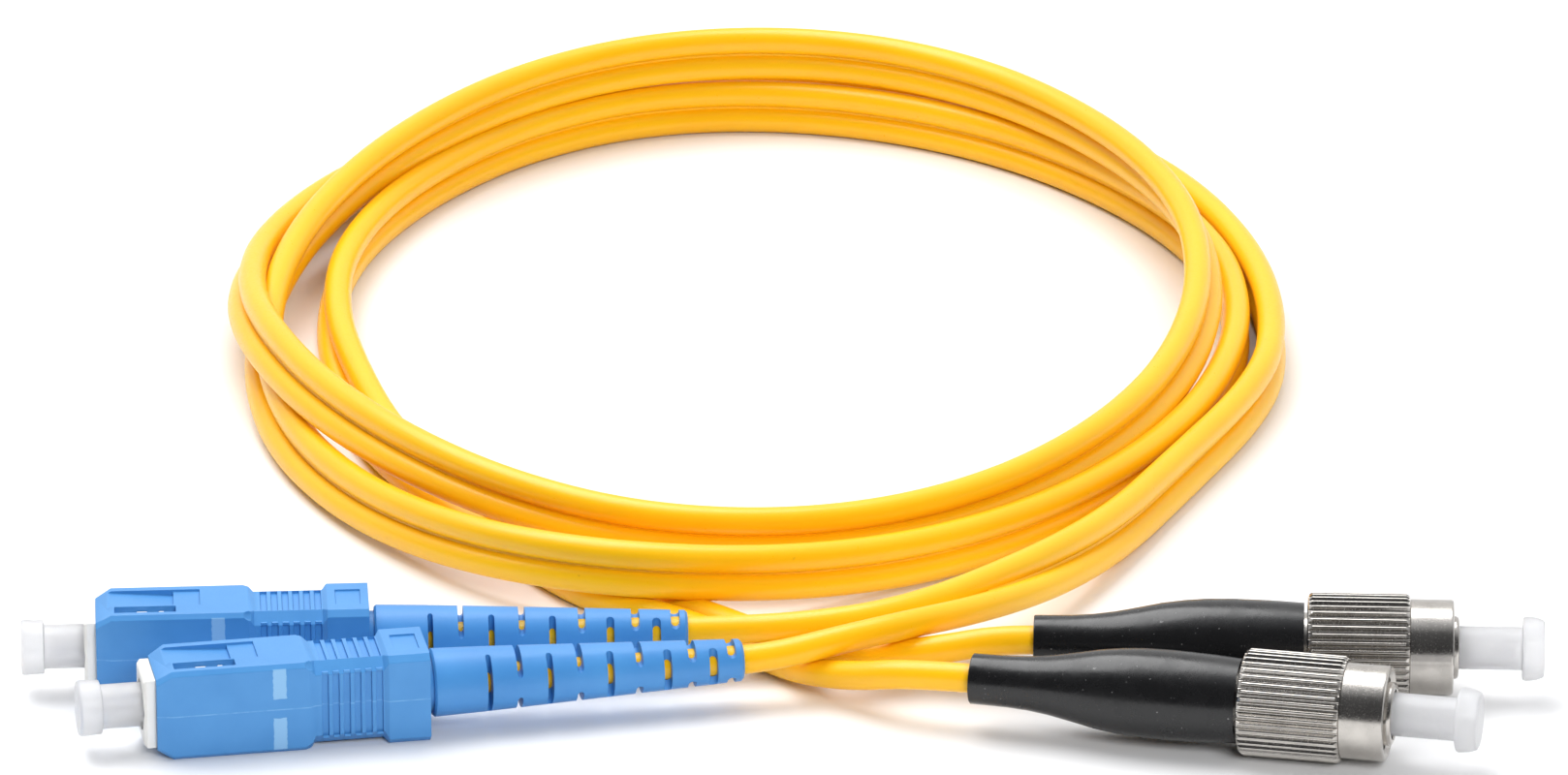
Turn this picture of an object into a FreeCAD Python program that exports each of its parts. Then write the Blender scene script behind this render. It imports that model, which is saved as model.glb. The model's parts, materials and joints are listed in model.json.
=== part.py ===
import FreeCAD, Part
import math
import os

# Duplex fibre optic patch cord: two push-pull square connectors (SC) on one end, two
# screw connectors (FC) on the other, and a two-strand jacketed cord lying in a loose coil.
# Millimetres, +Z up.  The origin is on the table, under the middle of the four
# connectors.  +X runs along the connectors from the SC end to the FC end, +Y to the coil.
# Each connector is built on its own axis with its mating face at x = 0 and its body
# towards -x, then laid on the table.

# ---- sizes shared by both kinds of connector ----
JACKET_D = 2.8
STRAND_PITCH = 2.9
BUFFER_D = 0.9
FERRULE_D = 2.499
FERRULE_LENGTH = 10.5
FERRULE_PROUD = 1.6
FERRULE_SEAT_D = 2.5
CAP_BORE_CLEARANCE = 0.03
COLLAR_D = 4.2
COLLAR_LENGTH = 1.8
HOLDER_TUBE_D = 3.1
STOP_WALL_START = 5.5
STOP_WALL_LENGTH = 1.0
STOP_WALL_HOLE_D = 2.9
REST_GAP = 0.05
CHAMBER_D = 4.7
CHAMBER_END = 16.0
SPRING_WIRE_D = 0.42
SPRING_LENGTH = 6.5
SPRING_TURNS = 6
SPIGOT_CLEARANCE = 0.04
POST_STEM_D = 3.9
POST_STEM_LENGTH = 5.9
POST_BORE_D = 2.0
POST_COLLAR_LENGTH = 1.6
CRIMP_WALL = 0.4
CRIMP_GAP = 0.1
CRIMP_LENGTH = 7.2
CRIMP_TAPER = 0.5
CRIMP_NECK_LENGTH = 3.5
BOOT_FIT = 0.1
JACKET_FIT = 0.05

# ---- SC connector ----
SLEEVE_LENGTH = 25.9
SLEEVE_WIDTH = 7.4
SLEEVE_HEIGHT = 9.0
SLEEVE_CLEARANCE = 0.08
SLEEVE_BACK_TRAVEL = 0.3
GRIP_START = 15.0
GRIP_END = 21.9
GRIP_SINK = 0.3
GRIP_GROOVES = 6
GRIP_GROOVE = 0.6
GRIP_PITCH = 1.03
GRIP_GROOVE_DEPTH = 0.3
FRAME_WIDTH = 5.4
FRAME_HEIGHT = 6.9
FRAME_PROUD = 1.15
FRAME_MOUTH_D = 4.9
LATCH_SLOT = (1.8, 7.6)
LATCH_SLOT_SIDE = (1.3, 2.65)
LATCH_LUGS = ((3.9, 4.9), (6.0, 6.5))
LUG_HEIGHT = 0.6
KEY_HEIGHT = 0.6
KEY_WIDTH = 2.4
SC_BOOT_GAP = 0.5
SC_BOOT_LENGTH = 29.8
SC_BOOT_FRONT_D = 6.5
SC_BOOT_REAR_D = 4.0
SC_BOOT_PLAIN = 5.0
SC_SIDE_SLOTS = (5.3, 11.1, 16.9, 22.4, 26.8)
SC_TOP_SLOTS = (8.2, 14.0, 19.7, 24.8, 28.6)
BOOT_SLOT = 0.8
BOOT_BRIDGE = 2.0
SC_CAP_D = 4.2
SC_CAP_EXPOSED = 3.8
SC_CAP_HEAD_D = 5.3
SC_CAP_HEAD = 2.15
CAP_REACH = 3.6

# ---- FC connector ----
NUT_SMOOTH_D = 9.1
NUT_SMOOTH_LENGTH = 4.1
NUT_KNURL_D = 10.1
NUT_KNURL_LENGTH = 9.8
KNURL_RIDGES = 40
KNURL_DEPTH = 0.3
THREAD_MAJOR_D = 8.0
THREAD_MINOR_D = 7.2
THREAD_PITCH = 0.75
THREAD_LENGTH = 5.25
NUT_RELIEF_D = 7.9
NUT_WALL_START = 10.0
NUT_WALL_LENGTH = 1.4
NUT_RUN_CLEARANCE = 0.1
BARREL_D = 6.0
BARREL_PROUD = 0.5
BARREL_MOUTH_D = 4.7
BARREL_STEM_D = 6.2
SHOULDER_D = 7.5
SHOULDER = (8.6, 9.7)
FC_KEY_WIDTH = 2.0
FC_KEY_TOP = 3.3
FC_KEY = (0.8, 5.0)
RING_START = 11.7
RING_THICKNESS = 0.7
RING_D = 7.5
RING_SEAT_D = 5.8
RING_SLIT = 1.2
FC_BOOT_GAP = 0.3
FC_BOOT_LENGTH = 25.6
FC_CAP_D = 4.1
FC_CAP_EXPOSED = 6.0
FC_CAP_HEAD_D = 6.2
FC_CAP_HEAD = 2.1

# ---- where the connectors lie: cord end of the boot, and heading of the mating end ----
SC_1_BOOT_END = (-4.0, 4.9)
SC_1_HEADING = 190.3
SC_2_BOOT_END = (-9.2, 11.7)
SC_2_HEADING = 183.5
FC_1_BOOT_END = (17.7, -0.7)
FC_1_HEADING = -11.8
FC_2_BOOT_END = (23.7, 8.3)
FC_2_HEADING = -2.5

# ---- routes of the four strands between their boots and the coil ----
SC_1_ROUTE = [
    (-1.0, 5.4, 4.6), (5.2, 6.8, 5.7), (11.4, 9.4, 6.1), (17.5, 14.4, 5.3), (22.9, 21.0, 4.1),
    (27.3, 28.0, 3.0), (31.2, 35.3, 2.2), (34.4, 42.4, 1.7), (37.4, 49.6, 1.5),
]
SC_2_ROUTE = [
    (-4.2, 12.0, 4.5), (2.2, 11.4, 5.2), (8.6, 12.4, 5.7), (14.9, 16.2, 5.9), (20.6, 22.0, 5.8),
    (25.8, 28.5, 5.5), (30.3, 35.7, 5.0), (33.8, 42.7, 4.6), (36.8, 49.8, 4.4),
]
FC_1_ROUTE = [
    (11.8, 0.5, 5.05), (6.2, 3.9, 3.2), (1.0, 8.6, 1.9), (-3.6, 14.6, 1.5), (-8.9, 20.3, 1.4),
    (-15.3, 25.0, 1.4), (-20.5, 28.3, 1.4),
]
FC_2_ROUTE = [
    (20.2, 8.4, 5.05), (14.8, 8.6, 3.9), (9.0, 10.0, 2.7), (3.5, 12.8, 2.0), (-1.4, 16.5, 1.6),
    (-7.0, 22.4, 1.4), (-13.6, 27.4, 1.4), (-18.9, 30.7, 1.4),
]
ARC_SHARE = 0.45

# ---- the coil's outer shape: reach from its centre to each side, and its height ----
COIL_CENTRE = (-3.0, 91.9)
COIL_OUTER = {"right": 54.0, "back": 68.0, "left": 54.0, "front": 70.0}
COIL_INNER = {"right": 42.0, "back": 61.0, "left": 40.0, "front": 58.0}
COIL_HEIGHT = 11.5
COIL_EDGE = 1.2

X_AXIS = FreeCAD.Vector(1, 0, 0)
Z_AXIS = FreeCAD.Vector(0, 0, 1)
ORIGIN = FreeCAD.Vector(0, 0, 0)


def rod(diameter, front, rear):
    """Round bar on the connector's axis, from `front` to `rear` mm behind the mating face."""
    return Part.makeCylinder(diameter / 2, rear - front, FreeCAD.Vector(-rear, 0, 0), X_AXIS)


def tube(outer, inner, front, rear):
    return rod(outer, front, rear).cut(rod(inner, front, rear))


def block(front, rear, low_y, high_y, low_z, high_z):
    corner = FreeCAD.Vector(-rear, low_y, low_z)
    return Part.makeBox(rear - front, high_y - low_y, high_z - low_z, corner)


def centred_block(front, rear, width, height):
    return block(front, rear, -width / 2, width / 2, -height / 2, height / 2)


def turned(outline):
    """Solid of revolution about the axis from (distance behind the face, radius) pairs."""
    points = [FreeCAD.Vector(-back, 0, radius) for back, radius in outline]
    face = Part.Face(Part.makePolygon(points + points[:1]))
    return face.revolve(ORIGIN, X_AXIS, 360)


def edges_along_x(shape, longer_than):
    found = []
    for edge in shape.Edges:
        box = edge.BoundBox
        if box.XLength > longer_than and box.YLength < 0.01 and box.ZLength < 0.01:
            found.append(edge)
    return found


def edges_at(shape, back):
    """Edges of the face that lies `back` mm behind the mating face."""
    return [e for e in shape.Edges if e.BoundBox.XLength < 0.01 and abs(e.BoundBox.XMin + back) < 0.01]


# ---- pieces both kinds share ----
def ferrule():
    rear = FERRULE_LENGTH - FERRULE_PROUD
    body = rod(FERRULE_D, -FERRULE_PROUD, rear)
    body = body.makeChamfer(0.3, edges_at(body, -FERRULE_PROUD))
    return body.cut(rod(BUFFER_D + 0.06, rear - 4.0, rear))


def ferrule_holder():
    front = STOP_WALL_START + STOP_WALL_LENGTH + REST_GAP
    rear = front + COLLAR_LENGTH + 3.65
    body = rod(COLLAR_D, front, front + COLLAR_LENGTH)
    body = body.makeChamfer(0.25, edges_at(body, front))
    body = body.fuse(rod(HOLDER_TUBE_D, front + COLLAR_LENGTH, rear))
    body = body.cut(rod(FERRULE_SEAT_D, front, FERRULE_LENGTH - FERRULE_PROUD))
    body = body.cut(rod(BUFFER_D + 0.2, front, rear))
    slot = block(front, front + COLLAR_LENGTH * 0.6, -0.35, 0.35, COLLAR_D / 2 - 0.5, COLLAR_D)
    return body.cut(slot).removeSplitter()


def spring_seat():
    return STOP_WALL_START + STOP_WALL_LENGTH + REST_GAP + COLLAR_LENGTH


def spring():
    """Coil spring whose wire rises along each half turn, level where one meets the next."""
    front = spring_seat() + SPRING_WIRE_D / 2 + 0.05
    mean = HOLDER_TUBE_D / 2 + 0.1 + SPRING_WIRE_D / 2
    advance = (SPRING_LENGTH - SPRING_WIRE_D - 0.1) / (2 * SPRING_TURNS)
    edges = []
    for half in range(2 * SPRING_TURNS):
        side = 1 if half % 2 == 0 else -1
        start = FreeCAD.Vector(-front - half * advance, 0, side * mean)
        middle = FreeCAD.Vector(-front - (half + 0.5) * advance, side * math.hypot(mean, advance / 2), 0)
        end = FreeCAD.Vector(-front - (half + 1) * advance, 0, -side * mean)
        edges.append(Part.Arc(start, middle, end).toShape())
    section = Part.makeCircle(SPRING_WIRE_D / 2, FreeCAD.Vector(-front, 0, mean), FreeCAD.Vector(0, 1, 0))
    return Part.Wire(edges).makePipeShell([Part.Wire(section)], True, False)


def buffered_fibre():
    return rod(BUFFER_D, FERRULE_LENGTH - FERRULE_PROUD - 4.0, post_end() + 0.5)


def post_start():
    return spring_seat() + SPRING_LENGTH


def stem_start():
    return CHAMBER_END + POST_COLLAR_LENGTH


def post_end():
    return stem_start() + POST_STEM_LENGTH


def rear_post(collar):
    """Rear body: closes the spring chamber, then a grooved stem for the crimp."""
    start = post_start()
    stem = stem_start()
    body = rod(CHAMBER_D - 2 * SPIGOT_CLEARANCE, start, CHAMBER_END)
    body = body.fuse(collar).fuse(rod(POST_STEM_D, stem, post_end()))
    for count in range(5):
        groove = stem + 0.8 + count
        body = body.cut(tube(POST_STEM_D + 1, POST_STEM_D - 0.3, groove, groove + 0.4))
    return body.cut(rod(POST_BORE_D, start, post_end())).removeSplitter()


def crimp_start():
    return stem_start() + 0.2


def crimp_sleeve():
    start = crimp_start()
    inner = POST_STEM_D / 2 + CRIMP_GAP
    neck = JACKET_D / 2 + JACKET_FIT
    step = start + CRIMP_LENGTH
    end = step + CRIMP_NECK_LENGTH
    outline = [
        (start, inner), (start, inner + CRIMP_WALL), (step, inner + CRIMP_WALL),
        (step + CRIMP_TAPER, neck + CRIMP_WALL), (end, neck + CRIMP_WALL), (end, neck),
        (step, neck), (step - CRIMP_TAPER, inner),
    ]
    return turned(outline)


def crimp_radius():
    return POST_STEM_D / 2 + CRIMP_GAP + CRIMP_WALL


def boot_bores(front, rear):
    """Stepped bore of a boot: over the crimp, over its neck, then the jacket."""
    step = crimp_start() + CRIMP_LENGTH + CRIMP_TAPER
    neck_end = crimp_start() + CRIMP_LENGTH + CRIMP_NECK_LENGTH + 0.2
    neck = JACKET_D / 2 + JACKET_FIT + CRIMP_WALL + 0.05
    bores = rod(2 * crimp_radius() + BOOT_FIT, front, step)
    bores = bores.fuse(rod(2 * neck, step, neck_end))
    return bores.fuse(rod(JACKET_D + 2 * JACKET_FIT, neck_end, rear))


def jacket_end(rear):
    return rod(JACKET_D, crimp_start() + CRIMP_LENGTH + 0.2, rear)


def dust_cap(face, shaft_d, exposed, head_d, head_length, taper):
    head_front = -face - exposed
    head = turned([
        (head_front, 0), (head_front, head_d / 2), (head_front - head_length + 0.4, head_d / 2 - taper),
        (head_front - head_length, head_d / 2 - taper - 0.4), (head_front - head_length, 0),
    ])
    shaft = rod(shaft_d, head_front, CAP_REACH)
    cap = head.fuse(shaft)
    return cap.cut(rod(FERRULE_D + 2 * CAP_BORE_CLEARANCE, head_front + 0.6, CAP_REACH)).removeSplitter()


# ---- SC pieces ----
def grip_sleeve():
    front = centred_block(0, GRIP_START, SLEEVE_WIDTH, SLEEVE_HEIGHT)
    front = front.makeChamfer(0.45, edges_along_x(front, 1))
    front = front.makeChamfer(0.7, edges_at(front, 0))
    grip = centred_block(GRIP_START, GRIP_END, SLEEVE_WIDTH - 2 * GRIP_SINK, SLEEVE_HEIGHT - 2 * GRIP_SINK)
    grip = grip.makeChamfer(1.1, edges_along_x(grip, 1))
    for count in range(GRIP_GROOVES):
        start = GRIP_START + 0.6 + count * GRIP_PITCH
        ring = centred_block(start, start + GRIP_GROOVE, SLEEVE_WIDTH + 1, SLEEVE_HEIGHT + 1)
        sink = 2 * (GRIP_SINK + GRIP_GROOVE_DEPTH)
        keep = centred_block(start, start + GRIP_GROOVE, SLEEVE_WIDTH - sink, SLEEVE_HEIGHT - sink)
        grip = grip.cut(ring.cut(keep))
    rear = centred_block(GRIP_END, SLEEVE_LENGTH, SLEEVE_WIDTH, SLEEVE_HEIGHT)
    rear = rear.makeFillet(0.6, edges_along_x(rear, 1))
    body = front.fuse(grip).fuse(rear)
    key_low = -SLEEVE_WIDTH / 2 - KEY_HEIGHT
    body = body.fuse(block(3.5, 13.0, key_low, -SLEEVE_WIDTH / 2 + 0.5, -KEY_WIDTH / 2, KEY_WIDTH / 2))
    bore = 2 * SLEEVE_CLEARANCE
    body = body.cut(centred_block(0, SLEEVE_LENGTH, FRAME_WIDTH + bore, FRAME_HEIGHT + bore))
    relief_start = crimp_start() - SLEEVE_BACK_TRAVEL - SLEEVE_CLEARANCE
    body = body.cut(rod(2 * crimp_radius() + bore, relief_start, SLEEVE_LENGTH))
    for side in (1, -1):
        body = body.cut(latch_recess(side))
    plate = SLEEVE_HEIGHT / 2 - 0.2
    body = body.cut(block(GRIP_END + 0.8, SLEEVE_LENGTH - 0.8, -1.6, 1.8, plate, plate + 1))
    return body.removeSplitter()


def latch_recess(side):
    """Slot beside the latch lugs, ramp next to it and the shallow pocket behind the ramp."""
    top = SLEEVE_HEIGHT / 2
    slot = block(*LATCH_SLOT, *LATCH_SLOT_SIDE, FRAME_HEIGHT / 2 - 0.5, top + 1)
    ramp_points = [
        FreeCAD.Vector(-1.0, -2.5, top + 1), FreeCAD.Vector(-1.0, -2.5, top - 0.1),
        FreeCAD.Vector(-7.4, -2.5, top - 0.6), FreeCAD.Vector(-7.4, -2.5, top + 1),
    ]
    ramp = Part.Face(Part.makePolygon(ramp_points + ramp_points[:1])).extrude(FreeCAD.Vector(0, 3.6, 0))
    pocket = block(7.4, 9.9, -2.5, 1.1, top - 0.25, top + 1)
    cutter = slot.fuse(ramp).fuse(pocket)
    if side < 0:
        cutter = cutter.mirror(ORIGIN, Z_AXIS)
    return cutter


def plug_frame():
    body = centred_block(-FRAME_PROUD, CHAMBER_END, FRAME_WIDTH, FRAME_HEIGHT)
    body = body.makeChamfer(0.35, edges_at(body, -FRAME_PROUD))
    for lug_front, lug_rear in LATCH_LUGS:
        for side in (1, -1):
            low = FRAME_HEIGHT / 2 - 0.2
            lug = block(lug_front, lug_rear, LATCH_SLOT_SIDE[0] + 0.15, LATCH_SLOT_SIDE[1] - 0.15,
                        low, low + 0.2 + LUG_HEIGHT)
            if side < 0:
                lug = lug.mirror(ORIGIN, Z_AXIS)
            body = body.fuse(lug)
    wall_end = STOP_WALL_START + STOP_WALL_LENGTH
    body = body.cut(rod(FRAME_MOUTH_D, -FRAME_PROUD, STOP_WALL_START))
    body = body.cut(rod(STOP_WALL_HOLE_D, STOP_WALL_START, wall_end))
    return body.cut(rod(CHAMBER_D, wall_end, CHAMBER_END)).removeSplitter()


def sc_post():
    return rear_post(centred_block(CHAMBER_END, stem_start(), FRAME_WIDTH, FRAME_HEIGHT))


def sc_boot_end():
    return SLEEVE_LENGTH + SC_BOOT_GAP + SC_BOOT_LENGTH


def sc_boot():
    front = SLEEVE_LENGTH + SC_BOOT_GAP
    rear = sc_boot_end()
    neck = crimp_start() + 1.2
    neck_r = FRAME_WIDTH / 2 - 0.02
    big = SC_BOOT_FRONT_D / 2
    small = SC_BOOT_REAR_D / 2
    body = turned([
        (neck, 0), (neck, neck_r), (front, neck_r), (front, big - 0.2), (front + 0.2, big),
        (front + SC_BOOT_PLAIN, big - 0.15), (rear - 0.3, small), (rear, small - 0.3), (rear, 0),
    ])
    body = body.cut(boot_bores(neck, rear))
    for places, across in ((SC_SIDE_SLOTS, True), (SC_TOP_SLOTS, False)):
        for place in places:
            slots = boot_slot(front + place)
            if not across:
                slots.rotate(ORIGIN, X_AXIS, 90)
            body = body.cut(slots)
    return body.removeSplitter()


def boot_slot(centre):
    """A pair of cross slots with round bottoms, leaving a bridge above and below."""
    half = BOOT_BRIDGE / 2
    cutters = None
    for side in (1, -1):
        low = half + BOOT_SLOT / 2 if side > 0 else -SC_BOOT_FRONT_D
        high = SC_BOOT_FRONT_D if side > 0 else -half - BOOT_SLOT / 2
        box = block(centre - BOOT_SLOT / 2, centre + BOOT_SLOT / 2, low, high, -SC_BOOT_FRONT_D, SC_BOOT_FRONT_D)
        base = FreeCAD.Vector(-centre, side * (half + BOOT_SLOT / 2), -SC_BOOT_FRONT_D)
        pair = box.fuse(Part.makeCylinder(BOOT_SLOT / 2, 2 * SC_BOOT_FRONT_D, base, Z_AXIS))
        cutters = pair if cutters is None else cutters.fuse(pair)
    return cutters


def sc_pieces():
    return {
        "grip_sleeve": grip_sleeve(),
        "plug_frame": plug_frame(),
        "ferrule": ferrule(),
        "ferrule_holder": ferrule_holder(),
        "spring": spring(),
        "buffered_fibre": buffered_fibre(),
        "rear_post": sc_post(),
        "crimp_sleeve": crimp_sleeve(),
        "boot": sc_boot(),
        "jacket_end": jacket_end(sc_boot_end()),
        "dust_cap": dust_cap(FRAME_PROUD, SC_CAP_D, SC_CAP_EXPOSED, SC_CAP_HEAD_D, SC_CAP_HEAD, 0.0),
    }


# ---- FC pieces ----
def knurled_ring(front, rear):
    """Straight-knurled ring with its ends bevelled."""
    crest = NUT_KNURL_D / 2
    points = []
    step = 2 * math.pi / KNURL_RIDGES
    for ridge in range(KNURL_RIDGES):
        for share, radius in ((-0.22, crest), (0.22, crest), (0.38, crest - KNURL_DEPTH), (0.62, crest - KNURL_DEPTH)):
            angle = (ridge + share) * step
            points.append(FreeCAD.Vector(-rear, radius * math.cos(angle), radius * math.sin(angle)))
    ridged = Part.Face(Part.makePolygon(points + points[:1])).extrude(FreeCAD.Vector(rear - front, 0, 0))
    bevel = 0.45
    envelope = turned([
        (front, 0), (front, crest - bevel), (front + bevel, crest + 0.01),
        (rear - bevel, crest + 0.01), (rear, crest - bevel), (rear, 0),
    ])
    return ridged.common(envelope)


def nut_end():
    return NUT_SMOOTH_LENGTH + NUT_KNURL_LENGTH


def coupling_nut():
    smooth = rod(NUT_SMOOTH_D, 0, NUT_SMOOTH_LENGTH)
    smooth = smooth.makeChamfer(0.25, edges_at(smooth, 0))
    body = smooth.fuse(knurled_ring(NUT_SMOOTH_LENGTH, nut_end()))
    minor = THREAD_MINOR_D / 2
    major = THREAD_MAJOR_D / 2
    outline = [(0, 0), (0, major), (0.4, minor)]
    for turn in range(int(THREAD_LENGTH / THREAD_PITCH) - 1):
        start = 0.5 + turn * THREAD_PITCH
        outline += [(start, minor), (start + 0.3, major), (start + 0.4, major), (start + 0.7, minor)]
    wall_end = NUT_WALL_START + NUT_WALL_LENGTH
    through = BARREL_STEM_D / 2 + NUT_RUN_CLEARANCE
    outline += [
        (THREAD_LENGTH + 0.3, minor), (THREAD_LENGTH + 0.3, NUT_RELIEF_D / 2),
        (NUT_WALL_START, NUT_RELIEF_D / 2), (NUT_WALL_START, through), (wall_end, through),
        (wall_end, NUT_RELIEF_D / 2), (nut_end(), NUT_RELIEF_D / 2), (nut_end(), 0),
    ]
    return body.cut(turned(outline)).removeSplitter()


def key_barrel():
    ring_end = RING_START + RING_THICKNESS
    body = turned([
        (-BARREL_PROUD, 0), (-BARREL_PROUD, BARREL_D / 2 - 0.4), (-BARREL_PROUD + 0.4, BARREL_D / 2),
        (SHOULDER[0], BARREL_D / 2), (SHOULDER[0], SHOULDER_D / 2), (SHOULDER[1], SHOULDER_D / 2),
        (SHOULDER[1], BARREL_STEM_D / 2), (RING_START, BARREL_STEM_D / 2), (RING_START, RING_SEAT_D / 2),
        (ring_end, RING_SEAT_D / 2), (ring_end, BARREL_STEM_D / 2), (CHAMBER_END, BARREL_STEM_D / 2),
        (CHAMBER_END, 0),
    ])
    half = FC_KEY_WIDTH / 2
    body = body.fuse(block(*FC_KEY, -half, half, BARREL_D / 2 - 0.3, FC_KEY_TOP))
    wall_end = STOP_WALL_START + STOP_WALL_LENGTH
    body = body.cut(rod(BARREL_MOUTH_D, -BARREL_PROUD, STOP_WALL_START))
    body = body.cut(rod(STOP_WALL_HOLE_D, STOP_WALL_START, wall_end))
    return body.cut(rod(CHAMBER_D, wall_end, CHAMBER_END)).removeSplitter()


def retaining_ring():
    end = RING_START + RING_THICKNESS
    ring = tube(RING_D, RING_SEAT_D, RING_START, end)
    return ring.cut(block(RING_START, end, -RING_SLIT / 2, RING_SLIT / 2, 0, RING_D))


def fc_post():
    return rear_post(rod(BARREL_STEM_D, CHAMBER_END, stem_start()))


def fc_boot_end():
    return nut_end() + FC_BOOT_GAP + FC_BOOT_LENGTH


def fc_boot():
    """Smooth flared boot: a spline outline turned about the axis."""
    front = nut_end() + FC_BOOT_GAP
    rear = fc_boot_end()
    stations = [(0.0, 4.0), (4.3, 4.2), (9.3, 4.2), (13.5, 3.75), (18.0, 2.85), (22.0, 2.45), (25.6, 2.4)]
    grow = FC_BOOT_LENGTH / stations[-1][0]
    points = [FreeCAD.Vector(-front - back * grow, 0, radius) for back, radius in stations]
    skin = Part.BSplineCurve()
    skin.interpolate(points)
    lines = [
        Part.LineSegment(points[-1], FreeCAD.Vector(-rear, 0, 0)).toShape(),
        Part.LineSegment(FreeCAD.Vector(-rear, 0, 0), FreeCAD.Vector(-front, 0, 0)).toShape(),
        Part.LineSegment(FreeCAD.Vector(-front, 0, 0), points[0]).toShape(),
    ]
    body = Part.Face(Part.Wire([skin.toShape()] + lines)).revolve(ORIGIN, X_AXIS, 360)
    bores = boot_bores(front, rear).fuse(rod(BARREL_STEM_D + BOOT_FIT, front, stem_start() + 0.1))
    return body.cut(bores)


def fc_pieces():
    return {
        "coupling_nut": coupling_nut(),
        "key_barrel": key_barrel(),
        "retaining_ring": retaining_ring(),
        "ferrule": ferrule(),
        "ferrule_holder": ferrule_holder(),
        "spring": spring(),
        "buffered_fibre": buffered_fibre(),
        "rear_post": fc_post(),
        "crimp_sleeve": crimp_sleeve(),
        "boot": fc_boot(),
        "jacket_end": jacket_end(fc_boot_end()),
        "dust_cap": dust_cap(BARREL_PROUD, FC_CAP_D, FC_CAP_EXPOSED, FC_CAP_HEAD_D, FC_CAP_HEAD, 0.3),
    }


# ---- cord ----
def rounded_path(points):
    """Straight runs joined by tangent arcs, each as large as its two runs allow."""
    edges = []
    radii = []
    start = points[0]
    for before, corner, after in zip(points, points[1:], points[2:]):
        back = (before - corner).normalize()
        ahead = (after - corner).normalize()
        shorter = min((before - corner).Length, (after - corner).Length)
        half_turn = (math.pi - back.getAngle(ahead)) / 2
        cut = ARC_SHARE * shorter
        radius = cut / math.tan(half_turn)
        radii.append(radius)
        arc_start = corner + back * cut
        arc_end = corner + ahead * cut
        to_centre = (back + ahead).normalize()
        middle = corner + to_centre * (radius / math.cos(half_turn) - radius)
        edges.append(Part.LineSegment(start, arc_start).toShape())
        edges.append(Part.Arc(arc_start, middle, arc_end).toShape())
        start = arc_end
    edges.append(Part.LineSegment(start, points[-1]).toShape())
    return Part.Wire(edges), radii


def strand(name, exit_point, route):
    points = [FreeCAD.Vector(*exit_point)] + [FreeCAD.Vector(*p) for p in route]
    path, radii = rounded_path(points)
    circle = Part.makeCircle(JACKET_D / 2, points[0], points[1] - points[0])
    body = path.makePipeShell([Part.Wire(circle)], True, False)
    print(name, "length", round(path.Length, 1), "radii", [round(r, 1) for r in radii])
    expected = path.Length * math.pi * JACKET_D ** 2 / 4
    print(name, "volume over section times length", round(body.Volume / expected, 4))
    return body


def oval(reach):
    """Closed outline of four quarter ellipses about the coil's centre."""
    x, y = COIL_CENTRE
    sides = ["right", "back", "left", "front"]
    directions = [(1, 0), (0, 1), (-1, 0), (0, -1)]
    edges = []
    for index in range(4):
        ahead = (index + 1) % 4
        start = FreeCAD.Vector(*directions[index], 0) * reach[sides[index]]
        end = FreeCAD.Vector(*directions[ahead], 0) * reach[sides[ahead]]
        centre = FreeCAD.Vector(x, y, 0)
        if start.Length >= end.Length:
            ellipse = Part.Ellipse(centre + start, centre + end, centre)
            arc = Part.ArcOfEllipse(ellipse, 0, math.pi / 2)
        else:
            ellipse = Part.Ellipse(centre + end, centre - start, centre)
            arc = Part.ArcOfEllipse(ellipse, -math.pi / 2, 0)
        edges.append(arc.toShape())
    return Part.Wire(edges)


def coil_ring():
    up = FreeCAD.Vector(0, 0, COIL_HEIGHT)
    ring = Part.Face(oval(COIL_OUTER)).extrude(up).cut(Part.Face(oval(COIL_INNER)).extrude(up))
    top = [e for e in ring.Edges if e.BoundBox.ZMin > COIL_HEIGHT - 0.01]
    return ring.makeChamfer(COIL_EDGE, top)


def laid(shape, boot_end, heading, boot_distance, height):
    """Turn a connector to its heading and put the cord end of its boot at `boot_end`."""
    turn = math.radians(heading)
    copy = shape.copy()
    copy.rotate(ORIGIN, Z_AXIS, heading)
    x = boot_end[0] + boot_distance * math.cos(turn)
    y = boot_end[1] + boot_distance * math.sin(turn)
    copy.translate(FreeCAD.Vector(x, y, height))
    return copy


def write(name, shape):
    solids = shape.Solids
    if not shape.isValid() or len(solids) != 1:
        print("CHECK", name, "valid", shape.isValid(), "solids", len(solids))
    solids[0].exportStep("parts/" + name + ".step")


def main():
    sc_height = SLEEVE_HEIGHT / 2
    fc_height = NUT_KNURL_D / 2
    sites = [
        ("sc_1", sc_pieces(), SC_1_BOOT_END, SC_1_HEADING, sc_boot_end(), sc_height, SC_1_ROUTE),
        ("sc_2", sc_pieces(), SC_2_BOOT_END, SC_2_HEADING, sc_boot_end(), sc_height, SC_2_ROUTE),
        ("fc_1", fc_pieces(), FC_1_BOOT_END, FC_1_HEADING, fc_boot_end(), fc_height, FC_1_ROUTE),
        ("fc_2", fc_pieces(), FC_2_BOOT_END, FC_2_HEADING, fc_boot_end(), fc_height, FC_2_ROUTE),
    ]
    for prefix, pieces, boot_end, heading, distance, height, route in sites:
        for piece, shape in pieces.items():
            write(prefix + "_" + piece, laid(shape, boot_end, heading, distance, height))
        write(prefix + "_strand", strand(prefix, (*boot_end, height), route))
    write("cord_coil", coil_ring())


main()
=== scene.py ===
import json
import math
import bmesh
import bpy
from mathutils import Matrix, Vector


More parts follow.
